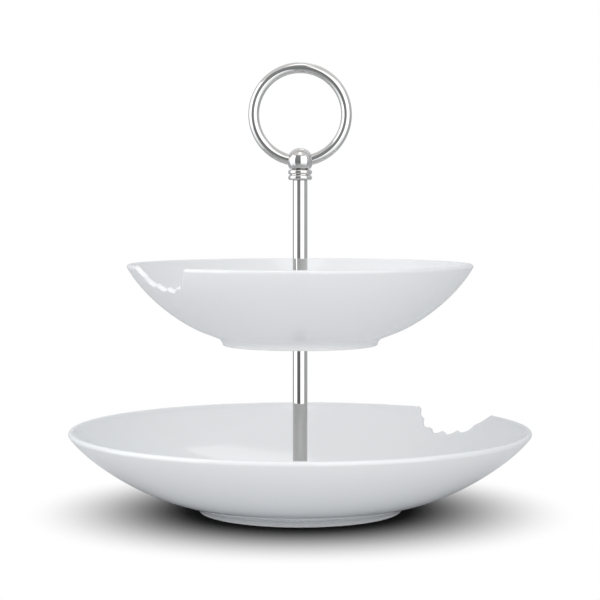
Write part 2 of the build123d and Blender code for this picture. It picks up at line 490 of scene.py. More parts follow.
def carve(piece: Piece, cutter: Piece, crease: float) -> None:
    """Cut one closed mesh out of another, and remove the cutter.

    Args:
        piece: What is cut.
        cutter: What it is cut with.
        crease: Turn in degrees from which an edge of the result is sharp.
    """
    cut = piece.modifiers.new("cut", "BOOLEAN")
    cut.operation = "DIFFERENCE"
    cut.solver = "EXACT"
    cut.object = cutter
    shaped = piece.evaluated_get(bpy.context.evaluated_depsgraph_get())
    mesh = bpy.data.meshes.new_from_object(shaped)
    piece.modifiers.clear()
    piece.data = mesh
    mesh.shade_smooth()
    mesh.set_sharp_from_angle(angle=math.radians(crease))
    bpy.data.objects.remove(cutter)


def dress(piece: Piece, node: str, finish: Finish) -> None:
    """Give a piece its finish and let it stand for a node, on the node's body.

    Args:
        piece: The finished piece.
        node: The node that it replaces.
        finish: Its surface.
    """
    piece.data.materials.clear()
    piece.data.materials.append(finish.material())
    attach(piece, carrier(node))
    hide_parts(node)
    log.info("%s: %d faces, %s", piece.name, len(piece.data.polygons), finish.name)


@dataclass(frozen=True)
class Bite:
    """A bite out of a rim, drawn on the plane square to the wall at its middle.

    Across is u, anticlockwise along the rim, and up is v, from the middle of the rim's rounding.
    """

    angle: float  # degrees around the stem
    half_width: float  # along the top of the rim
    depth: float  # from the top of the rim to the middle cusp
    lean: float  # fall of the arch for each millimetre along it
    tooth_width: float
    tooth_depth: float  # of the deepest tooth
    tooth_shift: float
    tooth_shares: tuple[float, ...] = (0.1, 1.0, 0.9, 0.9, 0.75, 0.4)
    arch_power: float = 2.5
    cusp_rounding: float = 0.5
    arc_points: int = 120

    def scallops(self, top: float, rim_level: float) -> Array:
        """Line of the teeth: arcs between cusps on an arch, with a small round on each inner cusp.

        The arch rises from its leaning bottom to the rim's level with a power of u over the half
        width. An arc bulges from its chord by its own share of the tooth depth. A cusp's round touches
        the circles of both its arcs, so its centre is the point that lies one radius and its rounding
        away from each of their centres.

        Args:
            top: v of the rim's top in the middle of the bite.
            rim_level: v of the rim's top at the bite's ends.

        Returns:
            (points, 2) line from left to right.
        """
        teeth = len(self.tooth_shares)
        inner = self.tooth_shift + self.tooth_width * (np.arange(1, teeth) - teeth / 2)
        u = np.concatenate(([-self.half_width], inner, [self.half_width]))
        rise = np.abs(u / self.half_width) ** self.arch_power
        bottom = top - self.depth - self.lean * u
        cusps = np.column_stack((u, bottom + (rim_level - bottom) * rise))
        chord = np.diff(cusps, axis=0)
        length = np.linalg.norm(chord, axis=1)
        middle = (cusps[:-1] + cusps[1:]) / 2
        bulge = self.tooth_depth * np.array(self.tooth_shares)
        radius = length**2 / (8 * bulge) + bulge / 2
        below = np.column_stack((chord[:, 1], -chord[:, 0])) / length[:, None]
        centre = middle - below * (radius - bulge)[:, None]

        reach = radius + self.cusp_rounding
        gap = np.diff(centre, axis=0)
        apart = np.linalg.norm(gap, axis=1)
        across = gap / apart[:, None]
        down = np.column_stack((across[:, 1], -across[:, 0]))
        along = (reach[:-1] ** 2 - reach[1:] ** 2 + apart**2) / (2 * apart)
        drop = np.sqrt(reach[:-1] ** 2 - along**2)
        tips = centre[:-1] + across * along[:, None] + down * drop[:, None]

        lefts = np.concatenate((cusps[:1], tips)) - centre
        rights = np.concatenate((tips, cusps[-1:])) - centre
        arcs = self.sweep(lefts, rights, -1) * radius[:, None, None] + centre[:, None]
        rounds = self.sweep(centre[:-1] - tips, centre[1:] - tips, 1)
        rounds = rounds * self.cusp_rounding + tips[:, None]
        line = np.concatenate((arcs[:-1], rounds), axis=1).reshape(-1, 2)
        return np.concatenate((line, arcs[-1]))

    def sweep(self, starts: Array, stops: Array, up: int) -> Array:
        """Unit vectors that turn evenly from one direction to another: the turn's sine and cosine.

        Args:
            starts: (arcs, 2) first directions.
            stops: (arcs, 2) last directions.
            up: 1 to turn by way of straight up, -1 by way of straight down.

        Returns:
            (arcs, points, 2) vectors.
        """
        first, last = (np.arctan2(way[:, :1], up * way[:, 1:]) for way in (starts, stops))
        swing = first + (last - first) * np.linspace(0, 1, self.arc_points)
        return np.stack((np.sin(swing), up * np.cos(swing)), axis=-1)


@dataclass(frozen=True)
class BiteEdge:
    """The bitten stretch of a rim, one value for each column of the dish's surface."""

    u: Array  # where the wall ends, across the bite's plane
    wall: Array  # where the wall ends, as a share of its length
    crown_turn: Array  # angle of the cut face, from the bite's middle
    crown: Array  # height of the cut face, as a share of the wall
    rounding: Array  # radius of the edges of the cut face


@dataclass(frozen=True)
class Dish:
    """A turned dish with a foot ring, a curved wall, a rounded rim and a bite."""

    node: str
    bite: Bite
    rim_thickness: float
    rim_slope: float
    foot_radius: float
    foot_width: float
    foot_rounding: float
    hollow_radius: float  # of the hollow between the foot and the wall
    straight_slope: float  # of the wall, from the hollow to where its curve is as steep
    wall_foot: Span  # where its curve would start
    foot_slope: float  # of the curve there
    recess_height: float
    floor_height: float
    floor_inset: float
    outer_pulls: Span  # at the foot and at the rim
    inner_pulls: Span
    hole_radius: float = 3.5
    bare_height: float = 0.35
    hollow_start: float = 1.3  # height of the hollow's edge, in roundings of the foot
    rim_share: float = 0.485  # of the thickness, for the rim's edges, so that its top keeps a face
    cut_rounding: float = 0.65
    cusp_softness: float = 0.3
    corner_softness: float = 1.0
    bell_reach: float = 4.0  # widths of the bell to where it ends
    tip_share: float = 0.7  # most that an edge's rounding takes of the radius of a tip
    least_turning: float = 1e-6
    rim_tail: float = 9.0
    tail_points: int = 200
    column_step: float = 0.3
    column_parts: int = 6  # places between columns while the edge is softened
    newton_steps: int = 12
    rim_columns: int = 260
    wall_rows: int = 36
    row_crowding: float = 1.4  # of the wall's rows towards the rim
    arc_rows: int = 7
    recess_rows: int = 8
    hollow_rows: int = 12
    floor_rows: int = 12
    slope_samples: int = 500

    def place(self) -> Triple:
        """Rim radius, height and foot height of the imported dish."""
        low, high = node_box(self.node)
        return (high[0] - low[0]) / 2, high[2] - low[2], low[2]

    def walls(self) -> tuple[Array, Array]:
        """Control points of the wall's outer and inner curves, each from the foot to the rim.

        Both curves end where the rim's half circle starts, half its thickness to either side of its
        middle, and leave along the rim's slope. The outer one starts near the foot, the inner one at
        the edge of the flat floor.

        Returns:
            Two (4, 2) arrays.
        """
        rim_radius, height, _ = self.place()
        half = self.rim_thickness / 2
        slope, foot_slope = math.radians(self.rim_slope), math.radians(self.foot_slope)
        along = np.array((math.cos(slope), math.sin(slope)))
        across = np.array((math.sin(slope), -math.cos(slope)))
        rim = np.array((rim_radius - half, height - half))
        leave = np.array((math.cos(foot_slope), math.sin(foot_slope)))
        level = np.array((1.0, 0.0))
        floor_end = (self.foot_radius - self.floor_inset, self.floor_height)
        ends = (
            (np.array(self.wall_foot), leave, self.outer_pulls, rim + across * half),
            (np.array(floor_end), level, self.inner_pulls, rim - across * half),
        )
        outer, inner = (
            np.array((foot, foot + way * pulls[0], top - along * pulls[1], top))
            for foot, way, pulls, top in ends
        )
        return outer, inner

    @staticmethod
    def curve(controls: Array, s: Array) -> Array:
        """Points of a cubic curve, run on straight past its end.

        Args:
            controls: (4, 2) control points.
            s: Places along the curve, 0 to 1, or more where it runs on.

        Returns:
            Points, with one more axis than s.
        """
        t = np.minimum(s, 1.0)[..., None]
        beyond = np.maximum(s - 1.0, 0.0)[..., None]
        weights = ((1 - t) ** 3, 3 * t * (1 - t) ** 2, 3 * t * t * (1 - t), t**3)
        on_curve = sum(weight * point for weight, point in zip(weights, controls))
        return on_curve + beyond * 3 * (controls[3] - controls[2])

    @staticmethod
    def slope(controls: Array, s: Array) -> Array:
        """Rate of change of the same curve along s.

        Args:
            controls: (4, 2) control points.
            s: Places along the curve.

        Returns:
            Rates, with one more axis than s.
        """
        t = np.minimum(s, 1.0)[..., None]
        legs = np.diff(controls, axis=0)
        return 3 * ((1 - t) ** 2 * legs[0] + 2 * t * (1 - t) * legs[1] + t * t * legs[2])

    def onto_wall(self, line: Array) -> tuple[Array, Array]:
        """Carry a line on the bite's plane straight through onto the middle of the wall.

        A point goes along the plane's normal until its radius and height are those of the wall's
        middle curve. Newton's method finds both how far it goes and where on the curve it ends.

        Args:
            line: (points, 2) across and up.

        Returns:
            The angle from the bite's middle, and the place along the wall.
        """
        rim_radius, height, _ = self.place()
        half = self.rim_thickness / 2
        slope = math.radians(self.rim_slope)
        middle = sum(self.walls()) / 2
        u, v = line.T
        s = 1 + v / (3 * np.linalg.norm(middle[3] - middle[2]))
        depth = np.zeros_like(u)
        for _ in range(self.newton_steps):
            outward = rim_radius - half + v * math.cos(slope) + depth * math.sin(slope)
            up = height - half + v * math.sin(slope) - depth * math.cos(slope)
            radius = np.hypot(outward, u)
            wall, rate = self.curve(middle, s), self.slope(middle, s)
            off_radius, off_height = radius - wall[:, 0], up - wall[:, 1]
            lean = outward / radius * math.sin(slope)
            scale = lean * rate[:, 1] + rate[:, 0] * math.cos(slope)
            depth = depth - (off_radius * rate[:, 1] - off_height * rate[:, 0]) / scale
            s = s + (lean * off_height + math.cos(slope) * off_radius) / scale
        return np.arctan2(u, outward), s

    def bitten_edge(self) -> BiteEdge:
        """The rim's line through the bite, set back from the cut face by the rounding of its edges.

        The teeth are trimmed where they pass the top of the rim, a stretch of rim is added at each
        side, and the line is softened by averaging it along its length under a bell curve. Where the
        line turns round a tip, the rounding stays under the tip's own radius.

        Returns:
            The edge's columns.
        """
        rim_radius, _, _ = self.place()
        half = self.rim_thickness / 2
        slope = math.radians(self.rim_slope)
        crown = rim_radius - half + half * math.cos(slope)

        def rim_line(u: Array) -> Array:
            """The top of the rim, as the bite's plane sees it."""
            fall = crown * (1 - np.sqrt(1 - (u / crown) ** 2))
            return np.column_stack((u, half - fall * math.cos(slope)))

        teeth = self.bite.scallops(half, rim_line(np.array([self.bite.half_width]))[0, 1])
        teeth = teeth[teeth[:, 1] < rim_line(teeth[:, 0])[:, 1]]
        tail = np.linspace(0, self.rim_tail, self.tail_points)
        left = rim_line(teeth[0, 0] - tail[:0:-1])
        right = rim_line(teeth[-1, 0] + tail[1:])
        raw = np.concatenate((left, teeth, right))
        run = np.concatenate(([0], np.cumsum(np.linalg.norm(np.diff(raw, axis=0), axis=1))))
        corners = run[len(left)], run[-len(right) - 1]

        fine = self.column_step / self.column_parts
        even = np.arange(0, run[-1], fine)
        line = np.column_stack([np.interp(even, run, side) for side in raw.T])
        crisp = self.softened(line, self.cusp_softness)
        soft = self.softened(line, self.corner_softness)
        nearest = np.minimum(np.abs(even - corners[0]), np.abs(even - corners[1]))
        line = soft + (crisp - soft) * ease(nearest / (self.bell_reach * self.corner_softness))[:, None]
        heading = unit(np.gradient(line, axis=0))
        into = np.column_stack((heading[:, 1], -heading[:, 0]))

        fade = self.rim_thickness
        bitten = ease((even - corners[0] + fade) / fade) * ease((corners[1] + fade - even) / fade)
        rim_rounding = self.rim_rounding()
        rounding = rim_rounding + (self.cut_rounding - rim_rounding) * bitten
        turning = -np.gradient(np.unwrap(np.arctan2(heading[:, 1], heading[:, 0])), fine)
        rounding = np.minimum(rounding, self.tip_share / np.maximum(turning, self.least_turning))
        rounding = self.softened(rounding, self.cusp_softness)
        every = slice(None, None, self.column_parts)
        crown_turn, crown_place = self.onto_wall(line[every])
        set_back = (line + into * rounding[:, None])[every]
        _, wall = self.onto_wall(set_back)
        return BiteEdge(set_back[:, 0], wall, crown_turn, crown_place, rounding[every])

    def softened(self, values: Array, width: float) -> Array:
        """Average evenly spaced values along the bitten edge under a bell curve.

        Args:
            values: One value or point for each part of a column.
            width: The bell's width in millimetres.

        Returns:
            As many values.
        """
        fine = self.column_step / self.column_parts
        reach = int(self.bell_reach * width / fine)
        bell = np.exp(-0.5 * (np.arange(-reach, reach + 1) * fine / width) ** 2)
        ends = 2 * values[[0, -1]]
        before, after = ends[0] - values[reach:0:-1], ends[1] - values[-2 : -reach - 2 : -1]
        longer = np.concatenate((before, values, after))
        return np.apply_along_axis(np.convolve, 0, longer, bell / bell.sum(), "valid")

    def rim_rounding(self) -> float:
        """Radius of the rim's edges."""
        return self.rim_share * self.rim_thickness

    def wall_start(self) -> float:
        """Find where the outer curve is as steep as the straight stretch above the foot.

        Returns:
            The place along the curve.
        """
        s = np.linspace(0, 1, self.slope_samples)
        rate = self.slope(self.walls()[0], s)
        steepness = np.arctan2(rate[:, 1], rate[:, 0])
        return float(np.interp(math.radians(self.straight_slope), steepness, s))

    def foot_profile(self) -> Array:
        """Underside of the dish: recess, foot ring and the hollow above it, from the hole outwards.

        The hollow is an arc that starts at the foot's rounded edge and ends along the wall's straight
        stretch. So its middle lies one radius under that stretch and one radius from the edge, which
        is a quadratic in how far out it is.

        Returns:
            (points, 2) profile.
        """
        inside = self.foot_radius - self.foot_width
        edge_height = self.hollow_start * self.foot_rounding
        corners = np.array(
            (
                (self.hole_radius, self.recess_height),
                (inside, self.recess_height),
                (inside, 0),
                (self.foot_radius, 0),
                (self.foot_radius, edge_height),
                (self.hole_radius, self.floor_height),
            )
        )
        ring = rounded_outline(corners, np.full(len(corners), self.foot_rounding), slice(1, 4))
        start = np.linspace(self.hole_radius, inside - 2 * self.foot_rounding, self.recess_rows)
        recess = np.column_stack((start, np.full_like(start, self.recess_height)))

        slope = math.radians(self.straight_slope)
        radius, rise = self.hollow_radius, math.tan(slope)
        wall_radius, wall_height = self.curve(self.walls()[0], np.array([self.wall_start()]))[0]
        drop = wall_height - (wall_radius - self.foot_radius) * rise - edge_height
        drop -= radius / math.cos(slope)
        steep = 1 + rise**2
        out = (math.sqrt((drop * rise) ** 2 - steep * (drop**2 - radius**2)) - drop * rise) / steep
        up = drop + out * rise
        turn = np.linspace(math.atan2(-up, -out) % TURN, math.pi / 2 + slope, self.hollow_rows)
        hollow = arc((self.foot_radius + out, edge_height + up), radius, turn)
        return np.concatenate((recess, ring[:-1], hollow))

    def columns(self, edge: BiteEdge, s: Array) -> Array:
        """Angle of every column at a place along the wall.

        A column of the bite keeps its distance u from the bite's middle line, so its angle is the
        arc sine of u over the wall's radius. The rest share out what is left of the circle evenly.

        Args:
            edge: The bitten edge.
            s: Place along the wall for each row and bite column.

        Returns:
            (rows, columns) angles from the bite's middle.
        """
        radius = self.curve(sum(self.walls()) / 2, s)[..., 0]
        bitten = np.arcsin(edge.u / radius)
        share = np.linspace(0, 1, self.rim_columns + 2)[1:-1]
        first, last = bitten[:, -1:], bitten[:, :1] + TURN
        return np.concatenate((bitten, first + (last - first) * share), axis=1)

    def swing(self, points: Array, turn: Array) -> Array:
        """Turn points, radii and heights above the foot, by their angles from the bite's middle."""
        angle = turn + math.radians(self.bite.angle)
        return turned(points[..., 0], angle, points[..., 1] + self.place()[2])

    def rings(self) -> tuple[Array, Array]:
        """The whole surface, from the hole under the foot to the rim and back over the floor.

        Each wall runs from its foot to the bitten edge in even shares of its own length there. The
        edge between the walls is two quarter rounds with a flat between them: from the wall's end,
        the sine of the turn goes towards the cut face and one less its cosine across the wall.

        Returns:
            (rows, columns, 3) points, and the bare mark at each.
        """
        edge = self.bitten_edge()
        rim = np.ones(self.rim_columns)
        outer, inner = self.walls()
        middle_run = np.linalg.norm(self.slope((outer + inner) / 2, np.ones(1)))
        end = np.concatenate((edge.wall, rim))
        share = np.linspace(0, 1, self.wall_rows)[:, None]
        share = 1 - (1 - share) ** self.row_crowding
        fan = self.columns(edge, share * edge.wall)
        rounding = np.concatenate((edge.rounding, rim * self.rim_rounding()))
        crown = np.concatenate((edge.crown, rim * (1 + self.rim_thickness / 2 / middle_run)))
        crown_turn = np.concatenate((edge.crown_turn, fan[-1, len(edge.u):]))

        start = self.wall_start()
        outer_wall = self.swing(self.curve(outer, start + share * (end - start)), fan)
        inner_wall = self.swing(self.curve(inner, share * end), fan)
        outer_rise = self.swing(self.curve(outer, crown), crown_turn) - outer_wall[-1]
        inner_rise = self.swing(self.curve(inner, crown), crown_turn) - inner_wall[-1]
        across = unit(outer_wall[-1] - inner_wall[-1]) * rounding[:, None]
        turn = np.linspace(0, math.pi / 2, self.arc_rows + 1)[1:, None, None]
        outer_round = outer_wall[-1] + np.sin(turn) * outer_rise - (1 - np.cos(turn)) * across
        inner_round = inner_wall[-1] + np.sin(turn) * inner_rise + (1 - np.cos(turn)) * across

        foot = self.foot_profile()
        floor_end = self.foot_radius - self.floor_inset
        floor_radius = np.linspace(floor_end, self.hole_radius, self.floor_rows)[1:]
        floor = np.column_stack((floor_radius, np.full_like(floor_radius, self.floor_height)))
        underside, top = (self.swing(flat[:, None], fan[:1]) for flat in (foot, floor))
        walls = (outer_wall, outer_round, inner_round[::-1], inner_wall[::-1])
        surface = np.concatenate((underside, *walls, top))
        bare = np.zeros(surface.shape[:2])
        bare[: len(foot)] = 1 - ease(foot[:, 1:] / self.bare_height)
        return surface, bare

    def build(self) -> Piece:
        """Make the dish's mesh."""
        rings, bare = self.rings()
        return skin(f"{self.node}_glazed", rings, Ends.JOINED, marks=bare)

    def dress(self) -> None:
        """Make the dish and glaze it."""
        dress(self.build(), self.node, GLAZE)


@dataclass(frozen=True)
class Stem:
    """The two chromed tubes, the bushes in their ends, and the studs and screw that join them."""

    rods: tuple[str, ...] = ("lower_rod", "upper_rod")
    bushes: tuple[str, ...] = (
        "lower_rod_foot_insert",
        "lower_rod_head_insert",
        "upper_rod_foot_insert",
        "upper_rod_head_insert",
    )
    studs: tuple[str, ...] = ("joining_stud", "handle_stud")
    screw: str = "bottom_screw"
    rod_wall: float = 0.8
    rod_edge: float = 0.3
    bush_hole: float = 2.0
    bush_edge: float = 0.2
    thread_pitch: float = 0.7
    thread_depth: float = 0.38
    thread_radius: float = 1.95
    thread_bevel: float = 0.4
    thread_flat: float = 0.125  # of its crest and its root, as a share of its depth
    turn_rows: int = 10
    head_radius: float = 5.5
    head_bevel: float = 0.8
    head_height: float = 1.7
    head_edges: tuple[float, ...] = (0.05, 0.3, 0.3, 0.15, 0.05)
    head_hold: float = 0.1
    slot_width: float = 1.2
    slot_depth: float = 0.9
    slot_excess: float = 1.0  # of its cutter past the head
    columns: int = 96
    thread_columns: int = 48

    def tube(self, node: str, bore: float, edge: float, name: str) -> Piece:
        """A tube as wide and tall as a node, whose inner edges are half as round as its outer ones.

        Args:
            node: The node that gives its size.
            bore: Radius of its hole.
            edge: Radius of its outer edges.
            name: The piece's name.

        Returns:
            The piece.
        """
        low, high = node_box(node)
        radii = (bore, (high[0] - low[0]) / 2)
        return sleeve(name, (low[2], high[2]), radii, (edge / 2, edge), self.columns)

    def thread(self, bottom: float, top: float) -> Array:
        """Rings of a screw thread between two heights.

        The radius is the thread's outside less its depth times a triangle wave of the height over
        the pitch less the turn, and no more than a bevel at each end allows.

        Args:
            bottom: Height of the first ring.
            top: Height of the last ring.

        Returns:
            (rows, columns, 3) points.
        """
        rows = int((top - bottom) / self.thread_pitch * self.turn_rows)
        height = np.linspace(bottom, top, rows)[:, None]
        turn = whole_turn(self.thread_columns)[None, :]
        phase = (height / self.thread_pitch - turn / TURN) % 1.0
        wave = 1 - np.abs(2 * phase - 1)
        flank = np.clip((1 + 2 * self.thread_flat) * wave - self.thread_flat, 0, 1)
        radius = self.thread_radius - self.thread_depth * flank
        inset = self.thread_radius - self.thread_bevel
        radius = np.minimum(radius, inset + np.minimum(height - bottom, top - height))
        return turned(radius, turn, height)

    def clamp_screw(self) -> Piece:
        """A low slotted head under a threaded shank.

        The head's outline, bevelled below, is turned about the stem, and the thread's rings follow on
        from its top. A flat bar across the bottom cuts the slot.

        Returns:
            The piece.
        """
        low, high = node_box(self.screw)
        bottom, top = low[2], low[2] + self.head_height
        corners = np.array(
            (
                (INNER, bottom),
                (self.head_radius - self.head_bevel, bottom),
                (self.head_radius, bottom + self.head_bevel),
                (self.head_radius, top),
                (INNER, top),
            )
        )
        edges = np.array(self.head_edges)
        outline = rounded_outline(corners, edges, slice(1, 4), hold=self.head_hold)
        rings = np.concatenate((lathe(outline, self.thread_columns), self.thread(top, high[2])))
        piece = skin("slotted_clamp_screw", rings, Ends.CAPPED, SHARP_TURN)
        ring = np.array(((-1, -1), (1, -1), (1, 1), (-1, 1)))
        ring = ring * (self.head_radius + self.slot_excess, self.slot_width / 2)
        levels = (bottom - self.slot_excess, bottom + self.slot_depth)
        slot = np.stack([np.column_stack((ring, np.full(len(ring), level))) for level in levels])
        carve(piece, skin("slot_cutter", slot, Ends.CAPPED), SHARP_TURN)
        return piece

    def dress(self) -> None:
        """Make every piece of the stem and give it its metal."""
        for node in self.rods:
            bore = node_box(node)[1][0] - self.rod_wall
            dress(self.tube(node, bore, self.rod_edge, f"{node}_tube"), node, CHROME)
        for node in self.bushes:
            dress(self.tube(node, self.bush_hole, self.bush_edge, f"{node}_bush"), node, BRASS)
        for node in self.studs:
            low, high = node_box(node)
            rings = self.thread(low[2], high[2])
            dress(skin(f"{node}_threaded", rings, Ends.CAPPED), node, STEEL)
        dress(self.clamp_screw(), self.screw, STEEL)


class Facing(Enum):
    """Which rim of a washer is bevelled."""

    UP = "up"
    DOWN = "down"


@dataclass(frozen=True)
class Seals:
    """The washers and gaskets that clamp each dish above and below its floor."""

    washers: tuple[tuple[str, Facing], ...] = (
        ("bottom_washer", Facing.DOWN),
        ("lower_floor_washer", Facing.UP),
        ("upper_under_washer", Facing.DOWN),
        ("upper_floor_washer", Facing.UP),
    )
    gaskets: tuple[str, ...] = (
        "bottom_gasket",
        "lower_floor_gasket",
        "upper_under_gasket",
        "upper_floor_gasket",
    )
    bore: float = 2.3
    bevel: float = 0.5
    edge: float = 0.12
    edge_hold: float = 0.05
    gasket_edge: float = 0.38
    columns: int = 96

    def washer(self, node: str, facing: Facing) -> Piece:
        """A flat ring with one bevelled rim and broken edges.

        Args:
            node: The node that gives its size.
            facing: Which rim is bevelled.

        Returns:
            The piece.
        """
        low, high = node_box(node)
        radius, bottom, top = high[0], low[2], high[2]
        if facing is Facing.UP:
            rim = ((radius, bottom), (radius, top - self.bevel), (radius - self.bevel, top))
        else:
            rim = ((radius - self.bevel, bottom), (radius, bottom + self.bevel), (radius, top))
        corners = np.array(((self.bore, bottom), *rim, (self.bore, top)))
        edges = np.full(len(corners), self.edge)
        outline = rounded_outline(corners, edges, hold=self.edge_hold)
        return skin(f"{node}_bevelled", lathe(outline, self.columns), Ends.JOINED)

    def gasket(self, node: str) -> Piece:
        """A soft flat ring with full round edges.

        Args:
            node: The node that gives its size.

        Returns:
            The piece.
        """
        low, high = node_box(node)
        radii, edges = (self.bore, high[0]), (self.gasket_edge, self.gasket_edge)
        return sleeve(f"{node}_moulded", (low[2], high[2]), radii, edges, self.columns)

    def dress(self) -> None:
        """Make every washer and gasket and give it its finish."""
        for node, facing in self.washers:
            dress(self.washer(node, facing), node, CHROME)
        for node in self.gaskets:
            dress(self.gasket(node), node, RUBBER)


@dataclass(frozen=True)
class Handle:
    """The beaded collar, the ball on it, and the ring through the ball."""

    bead_height: float = 2.55
    bead_rows: int = 24
    groove_radius: float = 5.3
    collar_bore: float = 2.0
    ball_radius: float = 6.7
    ball_rows: int = 80
    ball_sharp_turn: float = 35.0
    neck: Span = (4.3, 0.5)  # radius and height
    stud_hole: Span = (2.0, 1.2)  # radius and depth
    foot_edges: tuple[float, ...] = (0.02, 0.1, 0.1, 0.05, 0.05, 0.08, 0.02, 0.02)
    foot_hold: float = 0.05
    shade_margin: float = 0.01  # over the flat, for what gets the painted shade
    channel_gap: float = 0.25
    columns: int = 128
    wire_columns: int = 72
    ring_rows: int = 240

    def wire(self, name: str, gap: float) -> Piece:
        """The ring's round wire: a circle carried around a circle in the front's upright plane.

        Args:
            name: The piece's name.
            gap: How much is added to the wire's radius.

        Returns:
            The piece.
        """
        low, high = node_box("handle_ring")
        radius = (high[1] - low[1]) / 2
        sweep = (high[0] - low[0]) / 2 - radius
        along = whole_turn(self.ring_rows)[:, None]
        around = whole_turn(self.wire_columns)[None, :]
        reach = sweep + (radius + gap) * np.cos(around)
        level = turned(reach, along, (radius + gap) * np.sin(around))
        upright = level[..., [0, 2, 1]] + (0, 0, (low[2] + high[2]) / 2)
        return skin(name, upright, Ends.JOINED)

    def ball(self) -> Piece:
        """A ball cut off flat over a neck painted dark as shade, bored across for the wire and from
        below for its stud.

        The profile goes from the end of the stud's hole out and up to the top of the ball: straight
        runs for the hole, the neck and the flat, and a circle from the flat's edge to the top. The last
        two corners only lead the flat's edge off along the circle, and the edge's round takes the place
        of the circle's first points.

        Returns:
            The piece.
        """
        low, high = node_box("handle_ball")
        bottom, middle = low[2], high[2] - self.ball_radius
        hole, depth = self.stud_hole
        neck_radius, neck_height = self.neck
        flat = bottom + neck_height
        start = math.asin((flat - middle) / self.ball_radius)
        edge = self.ball_radius * math.cos(start)
        corners = np.array(
            (
                (INNER, bottom + depth),
                (hole, bottom + depth),
                (hole, bottom),
                (neck_radius, bottom),
                (neck_radius, flat),
                (edge, flat),
                (edge - math.sin(start), flat + math.cos(start)),
                (INNER, flat + 1),
            )
        )
        foot = rounded_outline(corners, np.array(self.foot_edges), slice(1, 6), hold=self.foot_hold)
        turn = np.linspace(start, math.pi / 2, self.ball_rows)[2:-1]
        profile = np.concatenate((foot, arc((0, middle), self.ball_radius, turn)))
        # the neck is marked for a painted shade, the shadow in the gap over the collar
        dark = (profile[:, 1] < flat + self.shade_margin) & (profile[:, 0] > hole)
        caps = np.zeros(2)
        marks = np.concatenate((np.repeat(dark.astype(float), self.columns), caps))
        rings = lathe(profile, self.columns)
        piece = skin("cut_off_ball", rings, Ends.CAPPED, self.ball_sharp_turn, marks)
        carve(piece, self.wire("channel_cutter", self.channel_gap), self.ball_sharp_turn)
        return piece

    def collar(self) -> Piece:
        """Two half-round beads with a narrow groove between them.

        A bead's radius is the groove's plus the rest of the collar's times the sine of a half turn,
        and its height falls and rises with the cosine.

        Returns:
            The piece.
        """
        low, high = node_box("handle_collar")
        turn = np.linspace(0, math.pi, self.bead_rows)[:, None]
        swell = self.groove_radius + (high[0] - self.groove_radius) * np.sin(turn)
        rise = (1 - np.cos(turn)) * self.bead_height / 2
        lower = np.concatenate((swell, low[2] + rise), axis=1)
        upper = np.concatenate((swell, high[2] - rise[::-1]), axis=1)
        bore = np.array(((self.collar_bore, high[2]), (self.collar_bore, low[2])))
        profile = np.concatenate((lower, upper, bore))
        return skin("beaded_collar", lathe(profile, self.columns), Ends.JOINED, SHARP_TURN)

    def dress(self) -> None:
        """Make the handle's pieces and plate them."""
        dress(self.collar(), "handle_collar", CHROME)
        dress(self.ball(), "handle_ball", CHROME)
        dress(self.wire("wire_ring", 0.0), "handle_ring", CHROME)


WHITE: Colour = (1.0, 1.0, 1.0, 1.0)
PALE_BLUE: Colour = (0.94, 0.97, 1.0, 1.0)


@dataclass(frozen=True)
class Card:
    """A studio card that only shows in reflections, a patch of a large sphere about the object."""

    name: str
    radiances: Span  # at its lower and upper edges
    azimuths: Span  # degrees from the front, towards the right
    elevations: Span
    tint: Colour = WHITE
    distance: float = 2600.0
    centre_height: float = 120.0
    steps: int = 24

    def build(self) -> None:
        """Make the card and hide it from everything but reflections.

        Each point is the sphere's radius times the sines and cosines of its two angles. The glow goes
        evenly from the lower edge's radiance to the upper edge's.
        """
        front = -math.pi / 2
        turn = np.radians(np.linspace(*self.azimuths, self.steps))[:, None] + front
        rise = np.radians(np.linspace(*self.elevations, self.steps))[None, :]
        height = self.distance * np.sin(rise) + self.centre_height
        rings = turned(self.distance * np.cos(rise), turn, height)
        glow = np.tile(np.linspace(*self.radiances, self.steps), self.steps)
        card = skin(self.name, rings, Ends.PATCH, marks=glow)
        graph = ShaderGraph(bpy.data.materials.new(self.name))
        graph.surface("ShaderNodeEmission", {"Color": self.tint, "Strength": graph.mark()})
        card.data.materials.append(graph.owner)
        card.visible_camera = False
        card.visible_diffuse = False
        card.visible_transmission = False
        card.visible_shadow = False


@dataclass(frozen=True)
class Lamp:
    """A soft square lamp that looks at a point on the stem."""

    name: str
    place: Triple
    size: float
    power: float
    target_height: float = 60.0

    def build(self) -> None:
        """Make the lamp and turn it to its target."""
        light = bpy.data.lights.new(self.name, "AREA")
        light.size = self.size * MM
        light.energy = self.power
        lamp = put(self.name, light)
        x, y, z = self.place
        drop = z - self.target_height
        lamp.location = (x * MM, y * MM, z * MM)
        lamp.rotation_euler = (math.atan2(math.hypot(x, y), drop), 0, math.atan2(x, -y))
        lamp.visible_glossy = False


